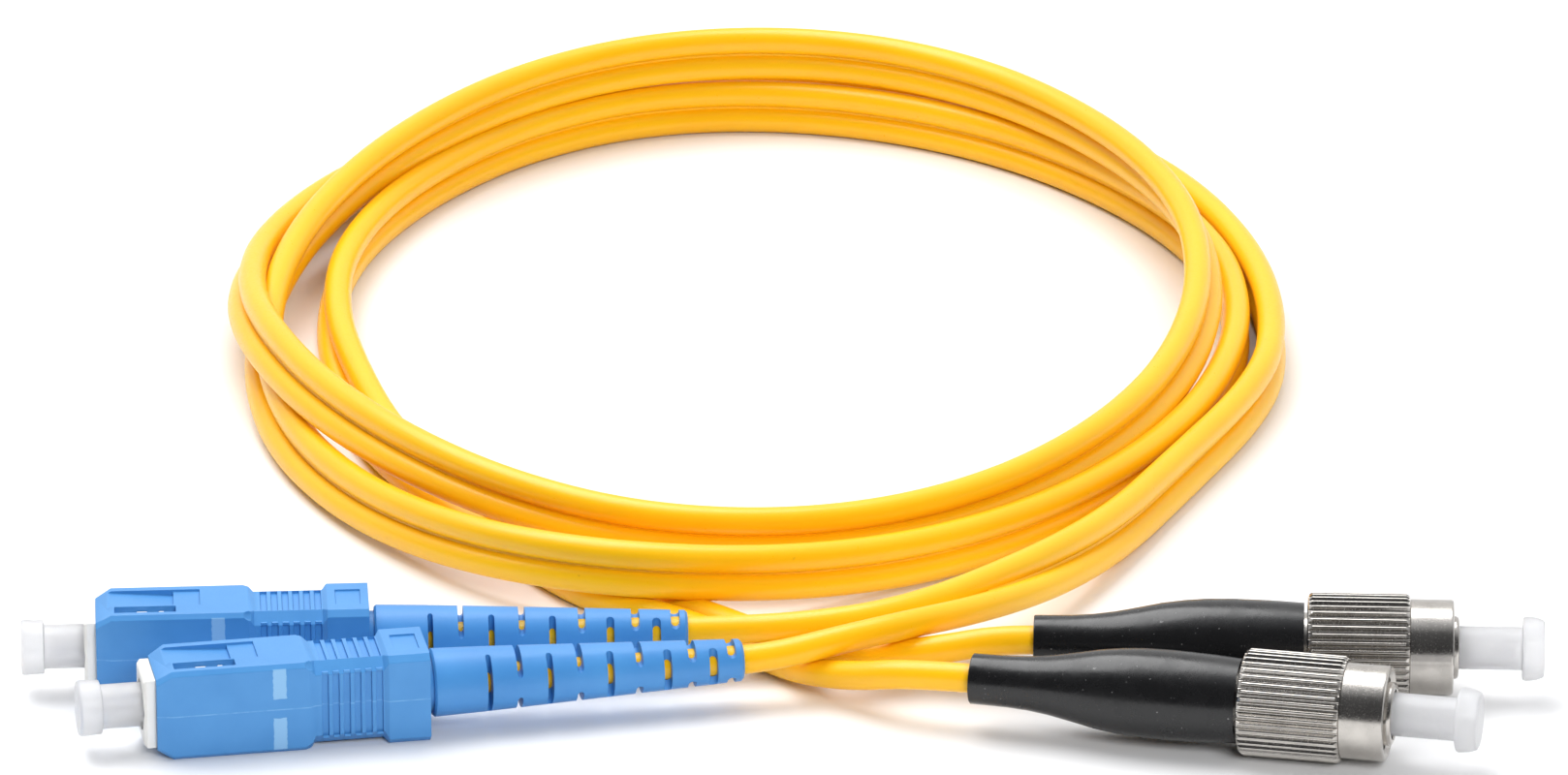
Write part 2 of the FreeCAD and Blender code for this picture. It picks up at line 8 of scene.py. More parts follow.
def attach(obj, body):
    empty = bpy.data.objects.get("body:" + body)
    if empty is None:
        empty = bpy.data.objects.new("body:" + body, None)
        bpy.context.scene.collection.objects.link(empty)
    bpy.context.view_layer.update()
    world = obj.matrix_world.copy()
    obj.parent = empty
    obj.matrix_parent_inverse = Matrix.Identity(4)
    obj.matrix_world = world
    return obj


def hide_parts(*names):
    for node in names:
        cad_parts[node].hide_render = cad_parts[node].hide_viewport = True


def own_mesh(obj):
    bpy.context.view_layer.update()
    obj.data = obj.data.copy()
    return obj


# Duplex fibre optic patch cord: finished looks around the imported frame.
# Connector pieces are modelled in millimetres on the connector's own axis, with the mating
# face at x = 0 and the body towards -x, then laid in metres where the frame puts them.

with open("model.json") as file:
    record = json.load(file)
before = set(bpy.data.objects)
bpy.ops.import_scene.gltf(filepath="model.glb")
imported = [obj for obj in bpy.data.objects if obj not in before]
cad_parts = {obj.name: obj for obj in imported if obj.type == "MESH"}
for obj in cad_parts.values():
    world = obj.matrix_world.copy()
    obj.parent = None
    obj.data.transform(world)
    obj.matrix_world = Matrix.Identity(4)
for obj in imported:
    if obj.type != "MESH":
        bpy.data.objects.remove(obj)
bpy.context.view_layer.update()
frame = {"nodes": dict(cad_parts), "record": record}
record = frame["record"]
MM = 0.001
FERRULE_PROUD = 1.6 * MM

# ---- the cord ----
JACKET_D = 2.8 * MM
STRAND_PITCH = 2.9
SC_1_ROUTE = [
    (-4.0, 4.9, 4.5), (-1.0, 5.4, 4.6), (5.2, 6.8, 5.7), (11.4, 9.4, 6.1), (17.5, 14.4, 5.3),
    (22.9, 21.0, 4.1), (27.3, 28.0, 3.0), (31.2, 35.3, 2.2), (34.4, 42.4, 1.7), (37.4, 49.6, 1.5),
]
SC_2_ROUTE = [
    (-9.2, 11.7, 4.5), (-4.2, 12.0, 4.5), (2.2, 11.4, 5.2), (8.6, 12.4, 5.7), (14.9, 16.2, 5.9),
    (20.6, 22.0, 5.8), (25.8, 28.5, 5.5), (30.3, 35.7, 5.0), (33.8, 42.7, 4.6), (36.8, 49.8, 4.4),
]
FC_1_ROUTE = [
    (17.7, -0.7, 5.05), (11.8, 0.5, 5.05), (6.2, 3.9, 3.2), (1.0, 8.6, 1.9), (-3.6, 14.6, 1.5),
    (-8.9, 20.3, 1.4), (-15.3, 25.0, 1.4), (-20.5, 28.3, 1.4),
]
FC_2_ROUTE = [
    (23.7, 8.3, 5.05), (20.2, 8.4, 5.05), (14.8, 8.6, 3.9), (9.0, 10.0, 2.7), (3.5, 12.8, 2.0),
    (-1.4, 16.5, 1.6), (-7.0, 22.4, 1.4), (-13.6, 27.4, 1.4), (-18.9, 30.7, 1.4),
]

# The twin cord winds nearly three times round an oval.  Every 30 degrees from -15 the
# turns have (how far outside the oval, height of the twin's middle, lean of the upper strand).
COIL_CENTRE = (-3.0, 91.9)
COIL_REACH = (50.0, 63.0)
COIL_FIRST = -15
COIL_EVERY = 30
COIL_GROW = 1.0087
COIL_STATIONS = [
    (2.5, 2.9, 4), (2.4, 2.9, 0), (3.2, 2.9, 0), (3.4, 2.9, 0), (2.8, 2.9, 0), (1.8, 2.9, 8),
    (2.4, 4.4, 20), (0.3, 8.2, 25), (-0.9, 8.3, 15), (-1.4, 6.6, 0), (-3.2, 5.8, 0),
    (-5.1, 6.2, 8), (-5.2, 7.0, 20), (-3.9, 8.2, 25), (-3.0, 8.6, 12), (0.0, 8.6, 0),
    (-0.3, 8.6, 0), (-2.7, 7.8, 4), (-1.5, 5.4, 12), (0.4, 3.0, 25), (3.4, 3.4, 15),
    (7.2, 5.9, 0), (0.4, 3.5, 0), (-2.5, 2.9, 0), (-1.9, 2.9, 0), (-0.6, 2.9, 0),
    (-1.7, 2.9, 0), (-1.1, 2.85, 0), (-0.3, 2.85, 0), (-3.9, 2.85, 5), (-6.2, 2.8, 10),
    (-8.6, 2.6, 30), (-7.1, 1.8, 80),
]


def eased(before, start, end, after, share):
    """Value between start and end, smooth through both stations."""
    rise = (end - before) / 2
    fall = (after - start) / 2
    gap = end - start
    bend = 3 * gap - 2 * rise - fall
    twist = rise + fall - 2 * gap
    return start + share * (rise + share * (bend + share * twist))


def turn_station(place):
    """Offset, height and lean of the twin at a place counted in stations."""
    last = len(COIL_STATIONS) - 1
    index = min(int(place), last - 1)
    rows = [COIL_STATIONS[min(max(index + step, 0), last)] for step in (-1, 0, 1, 2)]
    return [eased(*column, place - index) for column in zip(*rows)]


def coil_points(side):
    """Points of the upper (+1) or lower (-1) strand round the coil, in millimetres."""
    points = []
    for half_step in range(2 * len(COIL_STATIONS) - 1):
        outward, height, lean = turn_station(half_step / 2)
        angle = math.radians(COIL_FIRST + COIL_EVERY * half_step / 2)
        tilt = math.radians(lean)
        outward -= side * STRAND_PITCH / 2 * math.sin(tilt)
        height += side * STRAND_PITCH / 2 * math.cos(tilt)
        reach = Vector((COIL_REACH[0] * math.cos(angle), COIL_REACH[1] * math.sin(angle)))
        place = Vector(COIL_CENTRE) + reach * COIL_GROW + reach.normalized() * outward
        points.append((*place, height))
    return points


def cord_line(name, points):
    """Smooth spline through the cord's own points."""
    curve = bpy.data.curves.new(name, "CURVE")
    curve.dimensions = "3D"
    spline = curve.splines.new("NURBS")
    spline.points.add(len(points) - 1)
    for point, place in zip(spline.points, points):
        point.co = (*[value * MM for value in place], 1)
    spline.order_u = 3
    spline.use_endpoint_u = True
    curve.resolution_u = 8
    line = bpy.data.objects.new(name, curve)
    bpy.context.scene.collection.objects.link(line)
    return line


# ---- modelling in millimetres: primitives, edit-mode operators and applied modifiers ----
POINT = 0.001
NEAR = 0.01
FLAT = 0.99
LONG_EDGE = 0.2


def take(obj):
    """Make one object the only one selected, and active."""
    bpy.ops.object.select_all(action="DESELECT")
    if obj is not None:
        obj.select_set(True)
    bpy.context.view_layer.objects.active = obj


def settled(name):
    """The primitive just added, named, with its size and place moved into its mesh."""
    obj = bpy.context.object
    obj.name = obj.data.name = name
    bpy.ops.object.transform_apply(location=True, rotation=True, scale=True)
    return obj


def block(name, front, rear, low_y, high_y, low_z, high_z):
    """Box from front to rear millimetres behind the mating face."""
    take(None)
    centre = Vector((-(front + rear) / 2, (low_y + high_y) / 2, (low_z + high_z) / 2))
    size = (rear - front, high_y - low_y, high_z - low_z)
    bpy.ops.mesh.primitive_cube_add(size=1, location=centre, scale=size)
    return settled(name)


def centred_block(name, front, rear, width, height):
    """Box of a full width and height, centred on the connector's axis."""
    return block(name, front, rear, -width / 2, width / 2, -height / 2, height / 2)


def begin_edit(obj, kind="FACE"):
    """Open one object for editing with everything on it selected."""
    take(obj)
    bpy.ops.object.mode_set(mode="EDIT")
    bpy.ops.mesh.select_mode(type=kind)
    bpy.ops.mesh.select_all(action="SELECT")


def end_edit():
    """Leave edit mode, so that modifiers can be applied."""
    bpy.ops.object.mode_set(mode="OBJECT")


def widen(y_share, z_share):
    """Scale what is selected about the connector's axis."""
    bpy.ops.transform.resize(value=(1, y_share, z_share), center_override=(0, 0, 0))


def pick(kind, test):
    """Select only the vertices, edges or faces that pass a test of (middle in mm, part)."""
    mesh_data = bpy.context.edit_object.data
    bpy.ops.mesh.select_mode(type=kind)
    bpy.ops.mesh.select_all(action="DESELECT")
    mesh = bmesh.from_edit_mesh(mesh_data)
    parts = {"VERT": mesh.verts, "EDGE": mesh.edges, "FACE": mesh.faces}[kind]
    for part in parts:
        if kind == "VERT":
            middle = part.co
        else:
            corners = [corner.co for corner in part.verts]
            middle = sum(corners, Vector()) / len(corners)
        if test(middle, part):
            part.select_set(True)
    mesh.select_flush_mode()
    bmesh.update_edit_mesh(mesh_data)


def along_x(part):
    """True for a long edge that runs along the connector's axis."""
    run = part.verts[0].co - part.verts[1].co
    return abs(run.x) > LONG_EDGE and abs(run.y) + abs(run.z) < NEAR


def turned(name, outline, sides=48):
    """Loop extruded along the axis through (distance behind the face, radius) pairs.

    An outline that starts and ends on the axis closes in two points, and any other one
    goes round and closes on its first pair, as a thick tube.
    """
    take(None)
    back, radius = outline[0]
    bpy.ops.mesh.primitive_circle_add(vertices=sides, radius=max(radius, POINT),
                                      location=(-back, 0, 0), rotation=(0, math.pi / 2, 0))
    obj = settled(name)
    begin_edit(obj, "EDGE")
    for (last_back, last_radius), (back, radius) in zip(outline, outline[1:]):
        move = (last_back - back, 0, 0)
        bpy.ops.mesh.extrude_region_move(TRANSFORM_OT_translate={"value": move})
        share = max(radius, POINT) / max(last_radius, POINT)
        widen(share, share)
    pick("EDGE", lambda middle, edge: edge.is_boundary)
    if outline[0][1] < POINT:
        bpy.ops.mesh.fill_holes(sides=0)
        pick("VERT", lambda middle, vertex: math.hypot(middle.y, middle.z) < 2 * POINT)
        bpy.ops.mesh.remove_doubles(threshold=3 * POINT)
    else:
        bpy.ops.mesh.bridge_edge_loops()
    bpy.ops.mesh.select_all(action="SELECT")
    bpy.ops.mesh.normals_make_consistent(inside=False)
    end_edit()
    return obj


def apply_modifier(obj, kind, **settings):
    """Add one modifier with its settings and apply it at once."""
    modifier = obj.modifiers.new("step", kind)
    for key, value in settings.items():
        setattr(modifier, key, value)
    take(obj)
    bpy.ops.object.modifier_apply(modifier=modifier.name)


def cut(obj, *cutters, how="DIFFERENCE"):
    """Cut other pieces out of one, or combine them another way, and throw the others away."""
    for cutter in cutters:
        apply_modifier(obj, "BOOLEAN", operation=how, object=cutter, solver="EXACT")
        bpy.data.objects.remove(cutter)
    return obj


def add(obj, *others):
    """Join other pieces to one."""
    return cut(obj, *others, how="UNION")


def copied(obj, name, matrix):
    """Copy with its own mesh, moved by a matrix."""
    double = obj.copy()
    double.data = obj.data.copy()
    double.name = double.data.name = name
    bpy.context.scene.collection.objects.link(double)
    double.data.transform(matrix)
    return double


def soften(obj, width, segments=2, angle=32, smooth=40, clamp=False, merge=0.005):
    """Merge close corners, round the sharper edges and shade smooth between the rest."""
    begin_edit(obj, "EDGE")
    bpy.ops.mesh.remove_doubles(threshold=merge)
    end_edit()
    apply_modifier(obj, "BEVEL", width=width, segments=segments, limit_method="ANGLE",
                   angle_limit=math.radians(angle), use_clamp_overlap=clamp)
    return smoothed(obj, smooth)


def smoothed(obj, angle=40):
    """Smooth shading between sharp edges, with flat faces kept flat."""
    take(obj)
    bpy.ops.object.shade_smooth_by_angle(angle=math.radians(angle))
    apply_modifier(obj, "WEIGHTED_NORMAL", keep_sharp=True, weight=80)
    return obj


# ---- SC connector, in millimetres: distances run back from the mating face ----
SLEEVE_LENGTH = 25.9
SLEEVE_W, SLEEVE_H, SLEEVE_CHAMFER = 3.7, 4.5, 0.45
GRIP_W, GRIP_H, GRIP_CHAMFER = 3.4, 4.2, 1.1
REAR_CHAMFER = 0.6
NOSE_W, NOSE_H = 3.4, 3.6
NOSE_LENGTH = 1.5
GRIP_FRONT, GRIP_REAR = 15.0, 21.5
TAPER_FRONT = 14.45
SCOOP_MIDDLE = 15.0
REAR_FRONT = 21.95
SCOOP_OUT, SCOOP_LENGTHENED = 0.12, 1.15
KEY_RIB_FRONT, KEY_RIB_REAR, KEY_RIB_OUT, KEY_RIB_HALF = 3.5, 13.0, 0.6, 1.2
LATCH_SLOT = (1.8, 7.6, 1.3, 2.65)
LATCH_RAMP, RAMP_TOP, RAMP_DROP = (-1.0, 7.4, -2.5, 1.1), 0.1, 0.5
LATCH_POCKET, POCKET_DEPTH = (7.4, 9.9, -2.5, 1.1), 0.25
PLATE, PLATE_DEPTH = (22.75, 25.1, -1.6, 1.8), 0.2
GROOVES, GROOVE_START, GROOVE_PITCH, GROOVE_WIDTH, GROOVE_DEPTH = 6, 15.62, 1.03, 0.62, 0.3
FRAME_W, FRAME_H = 2.7, 3.45
SLEEVE_CLEARANCE = 0.08
FRAME_PROUD = 1.15
FRAME_CHAMFER = 0.3
LUG_INNER, LUG_OUTER, LUG_ROOT = 1.45, 2.5, 0.2
CHAMBER_END, CHAMBER_R = 16.0, 2.35
MOUTH_R = 2.45
STOP_FRONT, STOP_REAR, STOP_HOLE_R = 5.5, 6.5, 1.45
LATCH_LUGS = ((3.9, 4.9), (6.0, 6.5))
LUG_HEIGHT = 0.6
SC_BOOT_FRONT = 26.4
SIDE_SLOTS = (5.3, 11.1, 16.9, 22.4, 26.8)
TOP_SLOTS = (8.2, 14.0, 19.7, 24.8, 28.6)
SLOT_WIDTH, BRIDGE_HALF, SLOT_REACH, SLOT_ROUND = 0.8, 1.0, 5.0, 0.97
FIRST_SLOT_SHARE, SLOT_GROWTH = 0.52, 0.52
SC_BOOT_LENGTH = 29.8
SC_BOOT_NECK_FRONT = 19.0
BOOT_BORE_R = 1.45
CRIMP_END, CRIMP_R = 25.5, 2.5
CRIMP_NECK_END, CRIMP_NECK_R = 28.7, 1.9
CAP_REACH_IN = 3.6
CAP_BORE_R = 1.28
CAP_END_WALL, CAP_FILLET = 0.6, 0.06


def next_section(distance, old, new):
    """Carry an eight-sided end on, and give it a new half width, half height and chamfer."""
    bpy.ops.mesh.extrude_region_move(TRANSFORM_OT_translate={"value": (distance, 0, 0)})
    mesh = bmesh.from_edit_mesh(bpy.context.edit_object.data)
    place = next(abs(vertex.co.x) for vertex in mesh.verts if vertex.select)

    def here(middle):
        return abs(abs(middle.x) - place) < POINT

    (w, h, c), (new_w, new_h, new_c) = old, new
    pick("VERT", lambda m, v: here(m) and abs(abs(m.y) - w) < NEAR)
    widen(new_w / w, (new_h - new_c) / (h - c))
    pick("VERT", lambda m, v: here(m) and abs(abs(m.z) - h) < NEAR)
    widen((new_w - new_c) / (w - c), new_h / h)
    pick("FACE", lambda m, f: here(m) and abs(f.normal.x) > FLAT)


def sleeve_body():
    """Solid outline of the sleeve: grip first, carried on to the nose and to the rear block."""
    body = centred_block("grip_sleeve", GRIP_FRONT, GRIP_REAR, 2 * GRIP_W, 2 * GRIP_H)
    begin_edit(body, "EDGE")
    pick("EDGE", lambda m, e: along_x(e))
    bpy.ops.mesh.bevel(offset=GRIP_CHAMFER, segments=1, affect="EDGES")
    grip = (GRIP_W, GRIP_H, GRIP_CHAMFER)
    plain = (SLEEVE_W, SLEEVE_H, SLEEVE_CHAMFER)
    pick("FACE", lambda m, f: f.normal.x > FLAT)
    next_section(GRIP_FRONT - TAPER_FRONT, grip, plain)
    next_section(TAPER_FRONT - NOSE_LENGTH, plain, plain)
    next_section(NOSE_LENGTH, plain, (NOSE_W, NOSE_H, SLEEVE_CHAMFER))
    rear = (SLEEVE_W, SLEEVE_H, REAR_CHAMFER)
    pick("FACE", lambda m, f: f.normal.x < -FLAT)
    next_section(GRIP_REAR - REAR_FRONT, grip, rear)
    next_section(REAR_FRONT - SLEEVE_LENGTH, rear, rear)
    end_edit()
    return body


def grip_grooves(body):
    """Finger grooves pressed into the four flats, short of the chamfers."""
    begin_edit(body)
    for count in range(GROOVES):
        for edge in (0, GROOVE_WIDTH):
            place = -(GROOVE_START + count * GROOVE_PITCH + edge)
            bpy.ops.mesh.select_all(action="SELECT")
            bpy.ops.mesh.bisect(plane_co=(place, 0, 0), plane_no=(1, 0, 0))

    def in_groove(x):
        share = (-x - GROOVE_START) % GROOVE_PITCH
        return 0 < -x - GROOVE_START < GROOVES * GROOVE_PITCH and share < GROOVE_WIDTH

    for way in (Vector((0, 1, 0)), Vector((0, -1, 0)), Vector((0, 0, 1)), Vector((0, 0, -1))):
        pick("FACE", lambda m, f: f.normal.dot(way) > FLAT and in_groove(m.x))
        bpy.ops.mesh.extrude_region_move(TRANSFORM_OT_translate={"value": way * -GROOVE_DEPTH})
    end_edit()


def scoop(y_side, z_side):
    """Rounded hollow that starts the grip's chamfer on one corner of the sleeve."""
    take(None)
    bpy.ops.mesh.primitive_uv_sphere_add(
        segments=12, ring_count=8, radius=1, scale=(1.0, 1.0, SCOOP_LENGTHENED),
        rotation=(0, math.pi / 2, 0),
        location=(-SCOOP_MIDDLE, y_side * (SLEEVE_W + SCOOP_OUT), z_side * (SLEEVE_H + SCOOP_OUT)))
    return settled("scoop")


def latch_cutters(side):
    """Slot beside the latch lugs, the ramp next to it and the shallow pocket behind the ramp."""
    top = SLEEVE_H
    slot = block("slot", *LATCH_SLOT, FRAME_H - 0.5, top + 1)
    ramp = block("ramp", *LATCH_RAMP, top - RAMP_TOP, top + 1)
    begin_edit(ramp)
    pick("VERT", lambda m, v: m.x < 0 and m.z < top)
    bpy.ops.transform.translate(value=(0, 0, -RAMP_DROP))
    end_edit()
    pocket = block("pocket", *LATCH_POCKET, top - POCKET_DEPTH, top + 1)
    cutters = [slot, ramp, pocket]
    if side < 0:
        for cutter in cutters:
            begin_edit(cutter)
            bpy.ops.transform.mirror(constraint_axis=(False, False, True),
                                     center_override=(0, 0, 0))
            bpy.ops.mesh.normals_make_consistent(inside=False)
            end_edit()
    return cutters


def grip_sleeve():
    """Outer push-pull sleeve: grips, scooped corners, key rib, latch windows, blank plate."""
    body = sleeve_body()
    grip_grooves(body)
    for y_side in (1, -1):
        for z_side in (1, -1):
            cut(body, scoop(y_side, z_side))
    add(body, block("key", KEY_RIB_FRONT, KEY_RIB_REAR, -SLEEVE_W - KEY_RIB_OUT, -SLEEVE_W + 0.5,
                    -KEY_RIB_HALF, KEY_RIB_HALF))
    bore = centred_block("bore", -1, SLEEVE_LENGTH + 1, 2 * (FRAME_W + SLEEVE_CLEARANCE),
                         2 * (FRAME_H + SLEEVE_CLEARANCE))
    cut(body, bore, *latch_cutters(1), *latch_cutters(-1))
    cut(body, block("plate", *PLATE, SLEEVE_H - PLATE_DEPTH, SLEEVE_H + 1))
    return soften(body, 0.07, merge=0.05)


def plug_frame():
    """Off-white inner body: sits 1.15 mm proud of the sleeve, with latch lugs in its slots."""
    body = centred_block("plug_frame", -FRAME_PROUD, CHAMBER_END, 2 * FRAME_W, 2 * FRAME_H)
    begin_edit(body)
    pick("FACE", lambda m, f: f.normal.x > FLAT)
    bpy.ops.mesh.extrude_region_move(TRANSFORM_OT_translate={"value": (0, 0, 0)})
    widen(1 - FRAME_CHAMFER / FRAME_W, 1 - FRAME_CHAMFER / FRAME_H)
    pick("EDGE", lambda m, e: abs(m.x - FRAME_PROUD) < NEAR
         and max(abs(m.y) / FRAME_W, abs(m.z) / FRAME_H) > FLAT)
    bpy.ops.transform.translate(value=(-FRAME_CHAMFER, 0, 0))
    end_edit()
    for front, rear in LATCH_LUGS:
        for side in (1, -1):
            low, high = sorted((side * (FRAME_H - LUG_ROOT), side * (FRAME_H + LUG_HEIGHT)))
            add(body, block("lug", front, rear, LUG_INNER, LUG_OUTER, low, high))
    hollow = turned("hollow", [
        (-FRAME_PROUD - 1, 0), (-FRAME_PROUD - 1, MOUTH_R), (STOP_FRONT, MOUTH_R),
        (STOP_FRONT, STOP_HOLE_R), (STOP_REAR, STOP_HOLE_R), (STOP_REAR, CHAMBER_R),
        (CHAMBER_END + 1, CHAMBER_R), (CHAMBER_END + 1, 0),
    ])
    cut(body, hollow)
    return soften(body, 0.08)


def boot_slots():
    """U-ended slots, wider towards the cord: pairs at the sides, pairs above and below."""
    half = SLOT_WIDTH / 2
    cutter = block("boot_slot", -half, half, BRIDGE_HALF, SLOT_REACH, -SLOT_REACH, SLOT_REACH)
    begin_edit(cutter, "EDGE")
    pick("EDGE", lambda m, e: abs(m.y - BRIDGE_HALF) < NEAR and abs(abs(m.x) - half) < NEAR)
    bpy.ops.mesh.bevel(offset=SLOT_ROUND * SLOT_WIDTH / 2, segments=5, affect="EDGES")
    end_edit()
    slots = []
    for places, first_turn in ((SIDE_SLOTS, 0), (TOP_SLOTS, 90)):
        for place in places:
            for turn in (first_turn, first_turn + 180):
                move = Matrix.Translation((-(SC_BOOT_FRONT + place), 0, 0))
                share = FIRST_SLOT_SHARE + place / TOP_SLOTS[-1] * SLOT_GROWTH
                wider = Matrix.Diagonal((share, 1, 1, 1))
                turned_round = Matrix.Rotation(math.radians(turn), 4, "X")
                slots.append(copied(cutter, "slot", move @ turned_round @ wider))
    bpy.data.objects.remove(cutter)
    return slots


def joined(*objects):
    """Put several objects in the first one's mesh."""
    take(objects[0])
    for obj in objects:
        obj.select_set(True)
    bpy.ops.object.join()
    return objects[0]


def sc_boot():
    """Segmented strain relief: hollow cone on the jacket, cut by crossed slots."""
    neck = FRAME_W - 0.02
    rear = SC_BOOT_FRONT + SC_BOOT_LENGTH
    body = turned("sc_boot", [
        (SC_BOOT_NECK_FRONT, neck), (SC_BOOT_FRONT, neck), (SC_BOOT_FRONT, 3.05),
        (SC_BOOT_FRONT + 0.2, 3.25), (SC_BOOT_FRONT + 5.0, 3.1), (rear - 0.25, 2.02), (rear, 1.78),
        (rear, BOOT_BORE_R), (CRIMP_NECK_END, BOOT_BORE_R), (CRIMP_NECK_END, CRIMP_NECK_R),
        (CRIMP_END, CRIMP_NECK_R), (CRIMP_END, CRIMP_R), (SC_BOOT_NECK_FRONT, CRIMP_R),
    ], sides=64)
    cut(body, joined(*boot_slots()))
    return soften(body, 0.09, angle=30, smooth=50, clamp=True)


def dust_cap(name, face, shaft_r, exposed, head_outline):
    """Blind soft cap: bored for the ferrule, flanged head to pull it by."""
    head = face + exposed
    outline = [(head - CAP_END_WALL, 0), (head - CAP_END_WALL, CAP_BORE_R)]
    outline += [(-CAP_REACH_IN, CAP_BORE_R), (-CAP_REACH_IN, shaft_r)]
    outline += [(head - CAP_FILLET, shaft_r), (head, shaft_r + CAP_FILLET)]
    outline += [(head + along, radius) for along, radius in head_outline]
    outline.append((head + head_outline[-1][0], 0))
    cap = turned(name, [(-ahead, radius) for ahead, radius in outline])
    return soften(cap, 0.09, segments=3, angle=30, smooth=50)


def sc_cap():
    """Cap with a plain round head."""
    return dust_cap("sc_cap", FRAME_PROUD, 2.1, 3.8, [(0.02, 2.55), (1.9, 2.65), (2.15, 2.5)])


# ---- FC connector ----
SMOOTH_R, SMOOTH_LENGTH = 4.55, 4.1
CREST_R, KNURL_DEPTH, RIDGES = 5.05, 0.3, 40
NUT_REAR = 13.9
CORE_R = 2.0
THREAD_MINOR_R, THREAD_MAJOR_R, THREAD_PITCH, THREAD_TURNS = 3.6, 4.0, 0.75, 6
THREAD_END = 5.55
RELIEF_R = 3.95
WALL_FRONT, WALL_REAR, WALL_R = 10.0, 11.4, 3.2
BARREL_PROUD, BARREL_R, BARREL_MOUTH_R, STEM_R = 0.5, 3.0, 2.35, 3.1
SHOULDER_FRONT, SHOULDER_REAR, SHOULDER_R = 8.6, 9.7, 3.75
RING_FRONT, RING_REAR, RING_SEAT_R = 11.7, 12.4, 2.9
BARREL_KEY, BARREL_KEY_TOP = (0.8, 5.0, -1.0, 1.0), 3.3
FC_BOOT_FRONT, FC_BOOT_NECK_FRONT = 14.2, 17.7
FC_BOOT_SKIN = [
    (0.0, 4.0), (2.1, 4.13), (4.3, 4.22), (6.8, 4.26), (9.3, 4.22), (11.4, 4.05), (13.5, 3.76),
    (15.7, 3.3), (18.0, 2.85), (20.0, 2.58), (22.0, 2.45), (24.0, 2.41), (25.6, 2.4),
]


def knurled_ring():
    """Straight-knurled ring: two corners in four are sunk for the valleys, its ends bevelled."""
    take(None)
    bpy.ops.mesh.primitive_cylinder_add(
        vertices=4 * RIDGES, radius=CREST_R, depth=NUT_REAR - SMOOTH_LENGTH, end_fill_type="NGON",
        location=(-(SMOOTH_LENGTH + NUT_REAR) / 2, 0, 0), rotation=(0, math.pi / 2, 0))
    ring = settled("coupling_nut")
    step = 2 * math.pi / (4 * RIDGES)
    begin_edit(ring, "VERT")
    pick("VERT", lambda m, v: round(math.atan2(m.z, m.y) / step) % 4 in (2, 3))
    sunk = 1 - KNURL_DEPTH / CREST_R
    widen(sunk, sunk)
    end_edit()
    apply_modifier(ring, "BEVEL", width=0.07, segments=2, limit_method="ANGLE",
                   angle_limit=math.radians(25), use_clamp_overlap=False)
    end_r, shoulder_r, full_r = CREST_R - 0.45, CREST_R - 0.22, CREST_R + 0.01
    envelope = turned("envelope", [
        (SMOOTH_LENGTH - 1, CORE_R), (SMOOTH_LENGTH - 1, end_r), (SMOOTH_LENGTH, end_r),
        (SMOOTH_LENGTH + 0.15, shoulder_r), (SMOOTH_LENGTH + 0.5, full_r), (NUT_REAR - 0.5, full_r),
        (NUT_REAR - 0.15, shoulder_r), (NUT_REAR, end_r), (NUT_REAR, CORE_R),
    ], sides=96)
    return cut(ring, envelope, how="INTERSECT")


def coupling_nut():
    """Knurled nut with a smooth front, thread grooves and the wall that draws the barrel in."""
    nut = knurled_ring()
    add(nut, turned("smooth_end", [
        (0, CORE_R), (0, SMOOTH_R - 0.28), (0.1, SMOOTH_R - 0.09), (0.28, SMOOTH_R),
        (SMOOTH_LENGTH + 0.4, SMOOTH_R), (SMOOTH_LENGTH + 0.4, CORE_R),
    ], sides=96))
    thread = [(-1, 1.0), (-1, THREAD_MAJOR_R), (0, THREAD_MAJOR_R), (0.4, THREAD_MINOR_R)]
    for turn in range(THREAD_TURNS):
        start = 0.5 + turn * THREAD_PITCH
        thread += [(start, THREAD_MINOR_R), (start + 0.3, THREAD_MAJOR_R),
                   (start + 0.4, THREAD_MAJOR_R), (start + 0.7, THREAD_MINOR_R)]
    thread += [
        (THREAD_END, THREAD_MINOR_R), (THREAD_END, RELIEF_R), (WALL_FRONT, RELIEF_R),
        (WALL_FRONT, WALL_R), (WALL_REAR, WALL_R), (WALL_REAR, RELIEF_R),
        (NUT_REAR + 1, RELIEF_R), (NUT_REAR + 1, 1.0),
    ]
    cut(nut, turned("bore", thread, sides=96))
    return smoothed(nut, 35)


def key_barrel():
    """Inner barrel with a rounded lip, the shoulder the nut pulls on, a ring seat and the key."""
    barrel = turned("key_barrel", [
        (-BARREL_PROUD, BARREL_MOUTH_R + 0.1), (-BARREL_PROUD, BARREL_R - 0.32),
        (-BARREL_PROUD + 0.1, BARREL_R - 0.12), (-BARREL_PROUD + 0.32, BARREL_R),
        (SHOULDER_FRONT, BARREL_R), (SHOULDER_FRONT, SHOULDER_R), (SHOULDER_REAR, SHOULDER_R),
        (SHOULDER_REAR, STEM_R), (RING_FRONT, STEM_R), (RING_FRONT, RING_SEAT_R),
        (RING_REAR, RING_SEAT_R), (RING_REAR, STEM_R), (CHAMBER_END, STEM_R),
        (CHAMBER_END, CHAMBER_R), (STOP_REAR, CHAMBER_R), (STOP_REAR, STOP_HOLE_R),
        (STOP_FRONT, STOP_HOLE_R), (STOP_FRONT, BARREL_MOUTH_R),
        (-BARREL_PROUD + 0.12, BARREL_MOUTH_R),
    ], sides=72)
    add(barrel, block("key", *BARREL_KEY, BARREL_R - 0.3, BARREL_KEY_TOP))
    return smoothed(barrel, 35)


